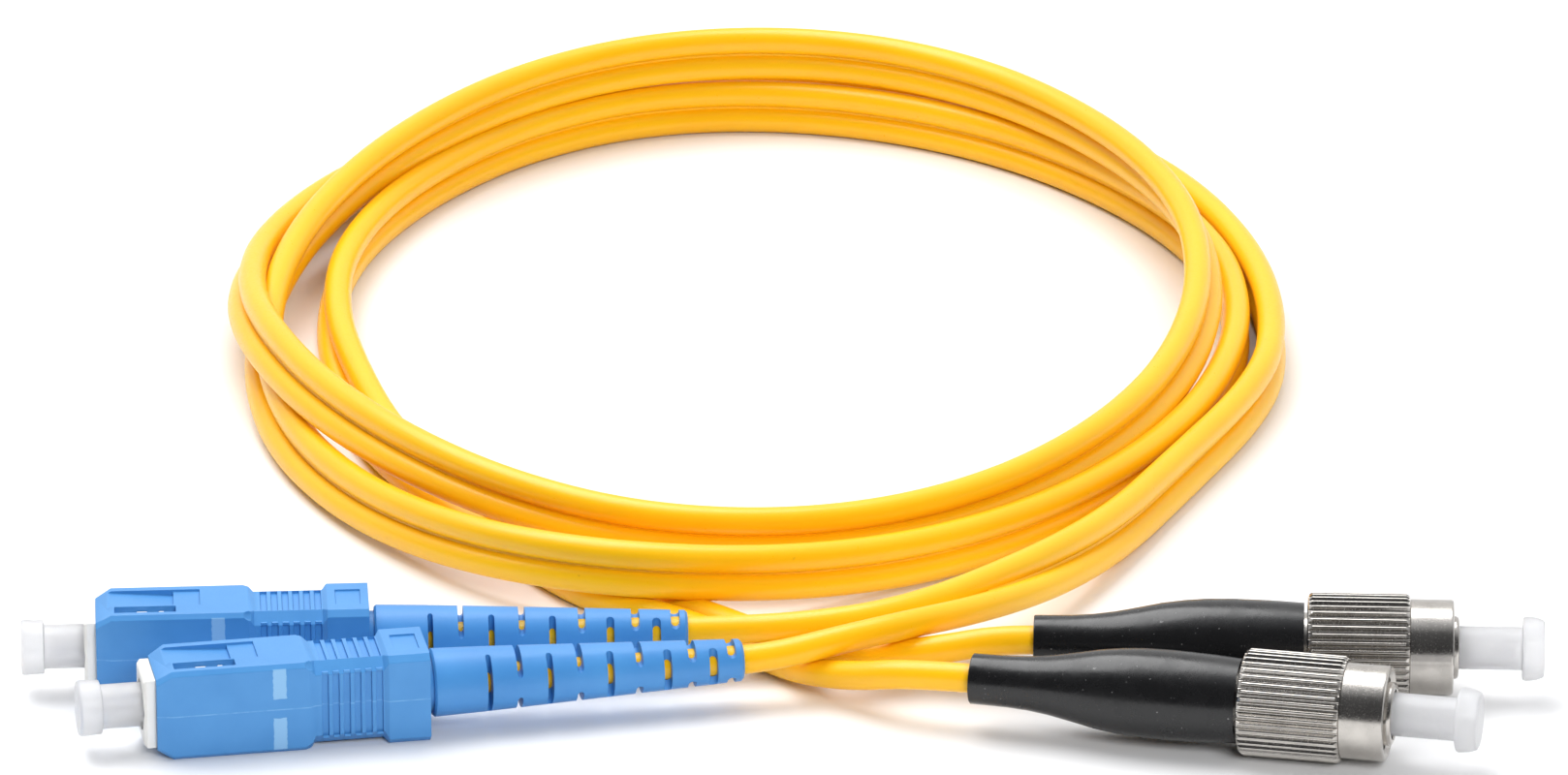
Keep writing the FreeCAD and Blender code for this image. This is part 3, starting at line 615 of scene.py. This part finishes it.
def fc_boot():
    """Smooth flared rubber boot with a rounded rim at the cord end."""
    rear = FC_BOOT_FRONT + FC_BOOT_SKIN[-1][0]
    outline = [(FC_BOOT_FRONT, STEM_R + 0.05)]
    outline += [(FC_BOOT_FRONT + back, radius) for back, radius in FC_BOOT_SKIN[:-1]]
    outline += [
        (rear - 0.1, FC_BOOT_SKIN[-1][1]), (rear, 2.3), (rear, BOOT_BORE_R + 0.06),
        (rear - 0.1, BOOT_BORE_R), (CRIMP_NECK_END, BOOT_BORE_R), (CRIMP_NECK_END, CRIMP_NECK_R),
        (CRIMP_END, CRIMP_NECK_R), (CRIMP_END, CRIMP_R), (FC_BOOT_NECK_FRONT, CRIMP_R),
        (FC_BOOT_NECK_FRONT, STEM_R + 0.05),
    ]
    return smoothed(turned("fc_boot", outline, sides=64), 45)


def fc_cap():
    """Longer cap with a head that narrows towards its end."""
    head_outline = [(0.02, 2.9), (0.25, 3.08), (1.3, 2.98), (2.0, 2.72), (2.1, 2.5)]
    return dust_cap("fc_cap", BARREL_PROUD, 2.05, 6.0, head_outline)


# ---- ferrule spring, the same in every connector ----
SPRING_SEAT = 8.35
SPRING_LENGTH = 6.5
SPRING_WIRE_R = 0.21
SPRING_MEAN_R = 1.86
SPRING_TURNS = 6
SPRING_END_GAP = 0.05


def ferrule_spring():
    """Round wire wound in an even helix, with both ends closed."""
    front = SPRING_SEAT + SPRING_END_GAP + SPRING_WIRE_R
    rise = (SPRING_LENGTH - 2 * SPRING_END_GAP - 2 * SPRING_WIRE_R) / SPRING_TURNS
    take(None)
    bpy.ops.mesh.primitive_circle_add(vertices=12, radius=SPRING_WIRE_R,
                                      location=(-front, 0, SPRING_MEAN_R),
                                      rotation=(math.pi / 2, 0, 0))
    obj = settled("ferrule_spring")
    apply_modifier(obj, "SCREW", axis="X", angle=2 * math.pi, screw_offset=-rise,
                   iterations=SPRING_TURNS, steps=36, render_steps=36)
    begin_edit(obj, "EDGE")
    pick("EDGE", lambda middle, edge: edge.is_boundary)
    bpy.ops.mesh.fill_holes(sides=0)
    bpy.ops.mesh.select_all(action="SELECT")
    bpy.ops.mesh.normals_make_consistent(inside=False)
    end_edit()
    return smoothed(obj)


# ---- finishes ----
def finish_of(name, color, roughness, **sockets):
    """Material with a principled shader, and the shader's own sockets set directly."""
    material = bpy.data.materials.new(name)
    material.use_nodes = True
    nodes, links = material.node_tree.nodes, material.node_tree.links
    shader = nodes["Principled BSDF"]
    shader.inputs["Base Color"].default_value = (*color, 1)
    shader.inputs["Roughness"].default_value = roughness
    for socket, value in sockets.items():
        shader.inputs[socket.replace("_", " ")].default_value = value
    return material, nodes, links, shader


def place_vector(nodes, links):
    """Object coordinates in millimetres."""
    coordinates = nodes.new("ShaderNodeTexCoord")
    mapping = nodes.new("ShaderNodeMapping")
    mapping.inputs["Scale"].default_value = (1000, 1000, 1000)
    links.new(coordinates.outputs["Object"], mapping.inputs["Vector"])
    return mapping.outputs["Vector"]


def own_vector(nodes, links, stretch=(1, 1, 1)):
    """Millimetres on the connector's own axis, squeezed for turning marks if asked."""
    attribute = nodes.new("ShaderNodeAttribute")
    attribute.attribute_name = "own_place"
    mapping = nodes.new("ShaderNodeMapping")
    mapping.inputs["Scale"].default_value = stretch
    links.new(attribute.outputs["Vector"], mapping.inputs["Vector"])
    return mapping.outputs["Vector"]


def grain(nodes, links, vector, scale, detail=3.0, rough=0.55):
    """Cloudy noise of a scale per millimetre."""
    noise = nodes.new("ShaderNodeTexNoise")
    noise.inputs["Scale"].default_value = scale
    noise.inputs["Detail"].default_value = detail
    noise.inputs["Roughness"].default_value = rough
    links.new(vector, noise.inputs["Vector"])
    return noise.outputs["Fac"]


def ramp(nodes, links, value, stops):
    """Colour ramp through (place, colour) stops."""
    node = nodes.new("ShaderNodeValToRGB")
    elements = node.color_ramp.elements
    while len(elements) < len(stops):
        elements.new(0.5)
    for element, (place, color) in zip(elements, stops):
        element.position = place
        element.color = (*color, 1)
    links.new(value, node.inputs["Fac"])
    return node.outputs["Color"]


def ranged(nodes, links, value, low, high, from_low=0.3, from_high=0.7):
    """Low to high as a value goes between two others, held at both ends."""
    node = nodes.new("ShaderNodeMapRange")
    numbers = {"From Min": from_low, "From Max": from_high, "To Min": low, "To Max": high}
    for socket, number in numbers.items():
        node.inputs[socket].default_value = number
    links.new(value, node.inputs["Value"])
    return node.outputs["Result"]


def bumped(nodes, links, shader, height, distance_mm, strength):
    """Fine relief in the shading, from a height between 0 and 1."""
    node = nodes.new("ShaderNodeBump")
    node.inputs["Distance"].default_value = distance_mm * MM
    node.inputs["Strength"].default_value = strength
    links.new(height, node.inputs["Height"])
    links.new(node.outputs["Normal"], shader.inputs["Normal"])


def combined(nodes, links, how, first, second):
    """Two values or numbers put together by a maths node."""
    node = nodes.new("ShaderNodeMath")
    node.operation = how
    for socket, value in zip(node.inputs, (first, second)):
        if isinstance(value, (int, float)):
            socket.default_value = value
        else:
            links.new(value, socket)
    return node.outputs["Value"]


def band(nodes, links, value, low, high, edge):
    """1 between low and high of a value, falling off over an edge width."""
    up = ranged(nodes, links, value, 0, 1, low - edge, low + edge)
    down = ranged(nodes, links, value, 1, 0, high - edge, high + edge)
    return combined(nodes, links, "MULTIPLY", up, down)


def blended(nodes, links, share, first, second):
    """The first colour turning into the second as the share goes from 0 to 1."""
    node = nodes.new("ShaderNodeMix")
    node.data_type = "RGBA"
    links.new(share, node.inputs["Factor"])
    for socket, color in ((node.inputs[6], first), (node.inputs[7], second)):
        if isinstance(color, tuple):
            socket.default_value = (*color, 1)
        else:
            links.new(color, socket)
    return node.outputs[2]


def moulded(name, dark, light, roughness):
    """Injection-moulded plastic: slight mottling, satin spark-eroded grain."""
    material, nodes, links, shader = finish_of(name, light, roughness)
    vector = place_vector(nodes, links)
    cloud = grain(nodes, links, vector, 0.16, 4.0)
    links.new(ramp(nodes, links, cloud, [(0.3, dark), (0.7, light)]), shader.inputs["Base Color"])
    fine = grain(nodes, links, vector, 9.0, 2.0)
    satin = ranged(nodes, links, fine, roughness - 0.05, roughness + 0.09)
    links.new(satin, shader.inputs["Roughness"])
    bumped(nodes, links, shader, fine, 0.02, 0.35)
    return material


SLEEVE_DARK, SLEEVE_LIGHT = (0.062, 0.262, 0.605), (0.078, 0.298, 0.655)
PRINT_COLOR, SEAM_COLOR = (0.25, 0.50, 0.79), (0.19, 0.45, 0.78)
UPPER_BAR, LOWER_BAR = (1.2, 4.3), (-4.0, -0.75)
BAR_SPAN = (-12.1, -10.85)
PRINT_SIDE = (3.6, 3.66)
PRINT_EDGE, PRINT_WANDER = 0.03, 0.22
SEAM_HALF, SEAM_EDGE = 0.05, 0.04


def sleeve_plastic():
    """Blue moulded plastic with a mould line at mid height and two pale bars on one side."""
    material, nodes, links, shader = finish_of("sleeve_blue", SLEEVE_LIGHT, 0.36, IOR=1.5)
    vector = own_vector(nodes, links)
    cloud = grain(nodes, links, vector, 0.16, 4.0)
    base = ramp(nodes, links, cloud, [(0.3, SLEEVE_DARK), (0.7, SLEEVE_LIGHT)])
    apart = nodes.new("ShaderNodeSeparateXYZ")
    ragged = nodes.new("ShaderNodeTexNoise")
    ragged.inputs["Scale"].default_value = 2.2
    ragged.inputs["Detail"].default_value = 4.0
    links.new(vector, ragged.inputs["Vector"])
    shifted = nodes.new("ShaderNodeVectorMath")
    shifted.operation = "MULTIPLY_ADD"
    links.new(ragged.outputs["Color"], shifted.inputs[0])
    shifted.inputs[1].default_value = (PRINT_WANDER, 0, PRINT_WANDER)
    links.new(vector, shifted.inputs[2])
    links.new(shifted.outputs["Vector"], apart.inputs["Vector"])
    x, z = apart.outputs["X"], apart.outputs["Z"]
    plain = nodes.new("ShaderNodeSeparateXYZ")
    links.new(vector, plain.inputs["Vector"])
    upper = band(nodes, links, z, *UPPER_BAR, PRINT_EDGE)
    lower = band(nodes, links, z, *LOWER_BAR, PRINT_EDGE)
    bars = combined(nodes, links, "ADD", upper, lower)
    bars = combined(nodes, links, "MULTIPLY", bars, band(nodes, links, x, *BAR_SPAN, PRINT_EDGE))
    facing = ranged(nodes, links, plain.outputs["Y"], 0, 1, *PRINT_SIDE)
    bars = combined(nodes, links, "MULTIPLY", bars, facing)
    printed = blended(nodes, links, bars, base, PRINT_COLOR)
    seam = band(nodes, links, plain.outputs["Z"], -SEAM_HALF, SEAM_HALF, SEAM_EDGE)
    broken = ranged(nodes, links, grain(nodes, links, vector, 0.9, 3.0), 0.15, 0.8, 0.35, 0.6)
    seam = combined(nodes, links, "MULTIPLY", seam, broken)
    lined = blended(nodes, links, seam, printed, SEAM_COLOR)
    links.new(lined, shader.inputs["Base Color"])
    fine = grain(nodes, links, vector, 9.0, 2.0)
    links.new(ranged(nodes, links, fine, 0.37, 0.5), shader.inputs["Roughness"])
    raised = combined(nodes, links, "ADD", combined(nodes, links, "MULTIPLY", fine, 0.25), seam)
    bumped(nodes, links, shader, raised, 0.03, 0.5)
    return material


NICKEL_COLOR, NICKEL_TARNISHED = (0.6, 0.57, 0.53), 0.86
NICKEL_ROUGHNESS = 0.19


def plated():
    """Bright nickel plate: fine turning marks round the axis, faint tarnish and pits."""
    material, nodes, links, shader = finish_of(
        "nickel", NICKEL_COLOR, NICKEL_ROUGHNESS, Metallic=1.0)
    turned_marks = grain(nodes, links, own_vector(nodes, links, (7.0, 0.6, 0.6)), 1.5, 5.0, 0.7)
    vector = own_vector(nodes, links)
    cloud = grain(nodes, links, vector, 0.5, 5.0, 0.6)
    low = tuple(channel * NICKEL_TARNISHED for channel in NICKEL_COLOR)
    tarnish = ramp(nodes, links, cloud, [(0.35, low), (0.6, NICKEL_COLOR)])
    links.new(tarnish, shader.inputs["Base Color"])
    speck = grain(nodes, links, vector, 6.0, 3.0, 0.7)
    worn = ranged(nodes, links, speck, NICKEL_ROUGHNESS - 0.05, NICKEL_ROUGHNESS + 0.1)
    links.new(worn, shader.inputs["Roughness"])
    faint = combined(nodes, links, "MULTIPLY", speck, 0.6)
    both = combined(nodes, links, "ADD", turned_marks, faint)
    bumped(nodes, links, shader, both, 0.004, 0.3)
    return material


def rubber():
    """Glossy black rubber with smudges, lint and a few bright specks of dust."""
    material, nodes, links, shader = finish_of("boot_black", (0.007, 0.007, 0.0075), 0.25, IOR=1.52)
    vector = own_vector(nodes, links)
    lint = grain(nodes, links, vector, 3.4, 1.0, 0.4)
    dust = ramp(nodes, links, lint, [
        (0.0, (0.006, 0.006, 0.0065)), (0.75, (0.008, 0.008, 0.0085)), (0.8, (0.16, 0.16, 0.16))])
    links.new(dust, shader.inputs["Base Color"])
    smudge = grain(nodes, links, vector, 0.35, 6.0, 0.65)
    links.new(ranged(nodes, links, smudge, 0.15, 0.36), shader.inputs["Roughness"])
    bumped(nodes, links, shader, grain(nodes, links, vector, 0.8, 6.0, 0.6), 0.05, 0.35)
    return material


def jacket_pvc():
    """Yellow cord jacket: soft sheen, faint extrusion waver, slight colour drift and specks."""
    material, nodes, links, shader = finish_of("jacket_yellow", (1.0, 0.56, 0.006), 0.33, IOR=1.5)
    vector = place_vector(nodes, links)
    drift = grain(nodes, links, vector, 0.035, 3.0)
    base = ramp(nodes, links, drift, [(0.35, (0.97, 0.505, 0.003)), (0.65, (1.0, 0.555, 0.006))])
    speck = ranged(nodes, links, grain(nodes, links, vector, 1.6, 1.0, 0.4), 0, 0.4, 0.78, 0.86)
    links.new(blended(nodes, links, speck, base, (0.6, 0.27, 0.02)), shader.inputs["Base Color"])
    fine = grain(nodes, links, vector, 2.5, 5.0, 0.6)
    links.new(ranged(nodes, links, fine, 0.27, 0.42), shader.inputs["Roughness"])
    waver = grain(nodes, links, vector, 0.4, 2.0, 0.5)
    bumped(nodes, links, shader, waver, 0.03, 0.22)
    shader.inputs["Subsurface Weight"].default_value = 0.12
    shader.inputs["Subsurface Radius"].default_value = (0.0012, 0.0006, 0.0002)
    shader.inputs["Subsurface Scale"].default_value = 1.0
    return material


def cap_polyethylene():
    """Milky translucent polyethylene."""
    material, nodes, links, shader = finish_of(
        "cap_translucent", (0.92, 0.92, 0.94), 0.36, IOR=1.5, Transmission_Weight=0.55)
    vector = own_vector(nodes, links)
    cloud = grain(nodes, links, vector, 0.45, 4.0)
    links.new(ramp(nodes, links, cloud, [(0.3, (0.9, 0.9, 0.93)), (0.7, (0.96, 0.96, 0.97))]),
              shader.inputs["Base Color"])
    fine = grain(nodes, links, vector, 7.0, 2.0)
    links.new(ranged(nodes, links, fine, 0.3, 0.45), shader.inputs["Roughness"])
    bumped(nodes, links, shader, cloud, 0.08, 0.4)
    shader.inputs["Subsurface Weight"].default_value = 0.8
    shader.inputs["Subsurface Radius"].default_value = (0.004, 0.004, 0.004)
    shader.inputs["Subsurface Scale"].default_value = 1.0
    return material


def machined(name, color, roughness, metallic):
    """Machined or ground surface of an inner part, with fine marks."""
    material, nodes, links, shader = finish_of(name, color, roughness, Metallic=metallic)
    vector = place_vector(nodes, links)
    marks = grain(nodes, links, vector, 4.0, 4.0, 0.65)
    low = tuple(channel * 0.88 for channel in color)
    links.new(ramp(nodes, links, marks, [(0.3, low), (0.7, color)]), shader.inputs["Base Color"])
    worn = ranged(nodes, links, marks, roughness - 0.05, roughness + 0.1)
    links.new(worn, shader.inputs["Roughness"])
    bumped(nodes, links, shader, marks, 0.01, 0.4)
    return material


FINISHES = {
    "sleeve_blue": sleeve_plastic(),
    "boot_blue": moulded("boot_blue", (0.058, 0.25, 0.60), (0.072, 0.29, 0.655), 0.42),
    "frame_ivory": moulded("frame_ivory", (0.78, 0.77, 0.73), (0.86, 0.855, 0.83), 0.4),
    "zirconia": machined("zirconia", (0.88, 0.88, 0.87), 0.18, 0.0),
    "nickel": plated(),
    "spring_steel": machined("spring_steel", (0.55, 0.55, 0.56), 0.3, 1.0),
    "buffer_white": machined("buffer_white", (0.8, 0.8, 0.79), 0.45, 0.0),
    "post_metal": machined("post_metal", (0.62, 0.60, 0.56), 0.32, 1.0),
    "crimp_aluminium": machined("crimp_aluminium", (0.66, 0.67, 0.69), 0.38, 1.0),
    "jacket_yellow": jacket_pvc(),
    "cap_translucent": cap_polyethylene(),
    "boot_black": rubber(),
}


# ---- laying the connectors in the frame ----
MOUNTS = {mount["name"]: mount for mount in record["mounts"]}
SC_SITES = [("sc_1", "sc_1_plug"), ("sc_2", "sc_2_plug")]
FC_SITES = [("fc_1", "fc_1_coupling"), ("fc_2", "fc_2_coupling")]


def connector_place(mount_name):
    """Matrix from millimetres on the connector's axis to its place in the frame, in metres."""
    mount = MOUNTS[mount_name]
    ahead = Vector(mount["axis"]).normalized()
    up = Vector((0, 0, 1))
    face = Vector(mount["pos_m"]) - ahead * FERRULE_PROUD
    turn = Matrix((ahead, up.cross(ahead), up)).transposed().to_4x4()
    return Matrix.Translation(face) @ turn @ Matrix.Scale(MM, 4)


def remember_own_place(obj):
    """Keep the connector's own millimetres on the mesh, so that marks follow the piece."""
    own = obj.data.attributes.new("own_place", "FLOAT_VECTOR", "POINT")
    own.data.foreach_set("vector", [value for vertex in obj.data.vertices for value in vertex.co])


def fit(pattern, name, place, body, slot, *nodes):
    """Lay a copy of a finished pattern in the frame as one of the object's pieces."""
    piece = copied(pattern, name, place)
    piece.data.materials.clear()
    piece.data.materials.append(FINISHES[slot])
    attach(piece, body)
    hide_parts(*nodes)
    return piece


def fit_connectors(sites, patterns):
    """Lay every pattern of one kind of connector at each of its sites."""
    for pattern in patterns:
        remember_own_place(pattern[0])
    for site, mount in sites:
        place = connector_place(mount)
        for pattern, part, body, slot in patterns:
            node = site + "_" + part
            fit(pattern, node + "_shown", place, body.format(site=site), slot, node)
    for pattern in patterns:
        bpy.data.objects.remove(pattern[0])


fit_connectors(SC_SITES, [
    (grip_sleeve(), "grip_sleeve", "{site}_sleeve_body", "sleeve_blue"),
    (plug_frame(), "plug_frame", "root", "frame_ivory"),
    (sc_boot(), "boot", "root", "boot_blue"),
    (sc_cap(), "dust_cap", "{site}_cap_body", "cap_translucent"),
])
fit_connectors(FC_SITES, [
    (coupling_nut(), "coupling_nut", "{site}_nut_body", "nickel"),
    (key_barrel(), "key_barrel", "root", "nickel"),
    (fc_boot(), "boot", "root", "boot_black"),
    (fc_cap(), "dust_cap", "{site}_cap_body", "cap_translucent"),
])


def fit_springs(sites):
    """One spring in each connector, the same wound spring at every site."""
    pattern = ferrule_spring()
    remember_own_place(pattern)
    for site, mount in sites:
        place = connector_place(mount)
        node = site + "_spring"
        piece = fit(pattern, node + "_shown", place, "root", "spring_steel", node)
        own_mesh(piece)
    bpy.data.objects.remove(pattern)


fit_springs(SC_SITES + FC_SITES)

INNER_FINISH = {
    "ferrule": "zirconia", "ferrule_holder": "nickel", "buffered_fibre": "buffer_white",
    "rear_post": "post_metal", "crimp_sleeve": "crimp_aluminium", "jacket_end": "jacket_yellow",
    "retaining_ring": "spring_steel",
}
for name, node in frame["nodes"].items():
    part = name.split("_", 2)[2] if name.count("_") > 1 else name
    if part in INNER_FINISH:
        finish = FINISHES[INNER_FINISH[part]]
        node.data.materials.clear()
        node.data.materials.append(finish)


# ---- laying the twin cord ----
WEB_RADIUS = 0.45 * MM
WEB_REACH = 3.05 * MM


def centre_points(line):
    """Points along a spline that has no thickness yet, in metres."""
    mesh = bpy.data.meshes.new_from_object(line)
    points = [vertex.co.copy() for vertex in mesh.vertices]
    bpy.data.meshes.remove(mesh)
    return points


def thicken(line, radius, rings):
    """Give a spline its round section, and make it one of the object's yellow pieces."""
    line.data.bevel_depth = radius
    line.data.bevel_resolution = rings
    line.data.use_fill_caps = True
    line.data.materials.append(FINISHES["jacket_yellow"])
    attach(line, "root")


def twin_web(lower, upper):
    """Thin web that joins the two jackets as long as they run side by side."""
    pairs = zip(centre_points(lower), centre_points(upper))
    middles = [(one + other) / 2 / MM for one, other in pairs if (one - other).length < WEB_REACH]
    web = cord_line("jacket_web", middles[::2])
    thicken(web, WEB_RADIUS, 2)
    return web


lower = cord_line("jacket_lower", SC_1_ROUTE + coil_points(-1) + FC_1_ROUTE[::-1])
upper = cord_line("jacket_upper", SC_2_ROUTE + coil_points(+1) + FC_2_ROUTE[::-1])
web = twin_web(lower, upper)
for line, route, nodes, pieces in (
        (lower, SC_1_ROUTE, ["sc_1_strand", "fc_1_strand", "cord_coil"], [web]),
        (upper, SC_2_ROUTE, ["sc_2_strand", "fc_2_strand"], [])):
    thicken(line, JACKET_D / 2, 5)
    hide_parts(*nodes)


# ---- camera, light and floor ----
PATCH_TARGET = Vector((0.0, 0.0759, 0.003))
CAMERA_ELEVATION = math.radians(22.5)
CAMERA_DISTANCE = 1.2
CAMERA_LENS = 275.0
WORLD_STRENGTH = 0.9


def aimed(obj, place, target):
    """Put a lamp or camera at a place, looking at a target."""
    obj.location = place
    obj.rotation_euler = (Vector(target) - Vector(place)).to_track_quat("-Z", "Y").to_euler()


def camera():
    """Long lens from the front, a little above."""
    data = bpy.data.cameras.new("camera")
    data.lens = CAMERA_LENS
    data.sensor_width = 36.0
    data.clip_start = 0.01
    cam = bpy.data.objects.new("camera", data)
    bpy.context.scene.collection.objects.link(cam)
    back = Vector((0.0, -math.cos(CAMERA_ELEVATION), math.sin(CAMERA_ELEVATION)))
    aimed(cam, PATCH_TARGET + back * CAMERA_DISTANCE, PATCH_TARGET)
    bpy.context.scene.camera = cam


def area_light(name, place, width, height, power):
    """Rectangular lamp aimed at the object."""
    data = bpy.data.lights.new(name, "AREA")
    data.shape = "RECTANGLE"
    data.size = width
    data.size_y = height
    data.energy = power
    lamp = bpy.data.objects.new(name, data)
    bpy.context.scene.collection.objects.link(lamp)
    aimed(lamp, place, PATCH_TARGET)
    return lamp


def studio_world():
    """Soft surround: bright overhead and behind, dim in front for bright metal to mirror."""
    world = bpy.data.worlds.new("studio")
    world.use_nodes = True
    nodes, links = world.node_tree.nodes, world.node_tree.links
    coordinates = nodes.new("ShaderNodeTexCoord")
    apart = nodes.new("ShaderNodeSeparateXYZ")
    links.new(coordinates.outputs["Generated"], apart.inputs["Vector"])
    height = combined(nodes, links, "MULTIPLY", apart.outputs["Z"], 0.6)
    toward_back = combined(nodes, links, "ADD", height, apart.outputs["Y"])
    sky = ramp(nodes, links, ranged(nodes, links, toward_back, 0, 1, -1.2, 1.2), [
        (0.0, (0.05, 0.05, 0.052)), (0.5, (0.1, 0.103, 0.108)), (0.78, (0.9, 0.92, 0.96)),
        (1.0, (1.0, 1.0, 1.0))])
    links.new(sky, nodes["Background"].inputs["Color"])
    nodes["Background"].inputs["Strength"].default_value = WORLD_STRENGTH
    bpy.context.scene.world = world


def paper_floor():
    """Wide sheet of white paper under the object."""
    material, nodes, links, shader = finish_of("paper", (0.9, 0.9, 0.9), 0.75)
    fibre = grain(nodes, links, place_vector(nodes, links), 0.08, 6.0)
    links.new(ramp(nodes, links, fibre, [(0.2, (0.875, 0.875, 0.88)), (0.8, (0.91, 0.91, 0.91))]),
              shader.inputs["Base Color"])
    take(None)
    bpy.ops.mesh.primitive_plane_add(size=6)
    floor = settled("floor")
    floor.data.materials.append(material)


camera()
area_light("overhead", (-0.25, 0.35, 0.9), 0.9, 0.7, 9.0)
area_light("front_fill", (0.3, -0.9, 0.7), 0.5, 0.5, 8.0).visible_glossy = False
studio_world()
bpy.context.scene.view_settings.view_transform = "Standard"
paper_floor()
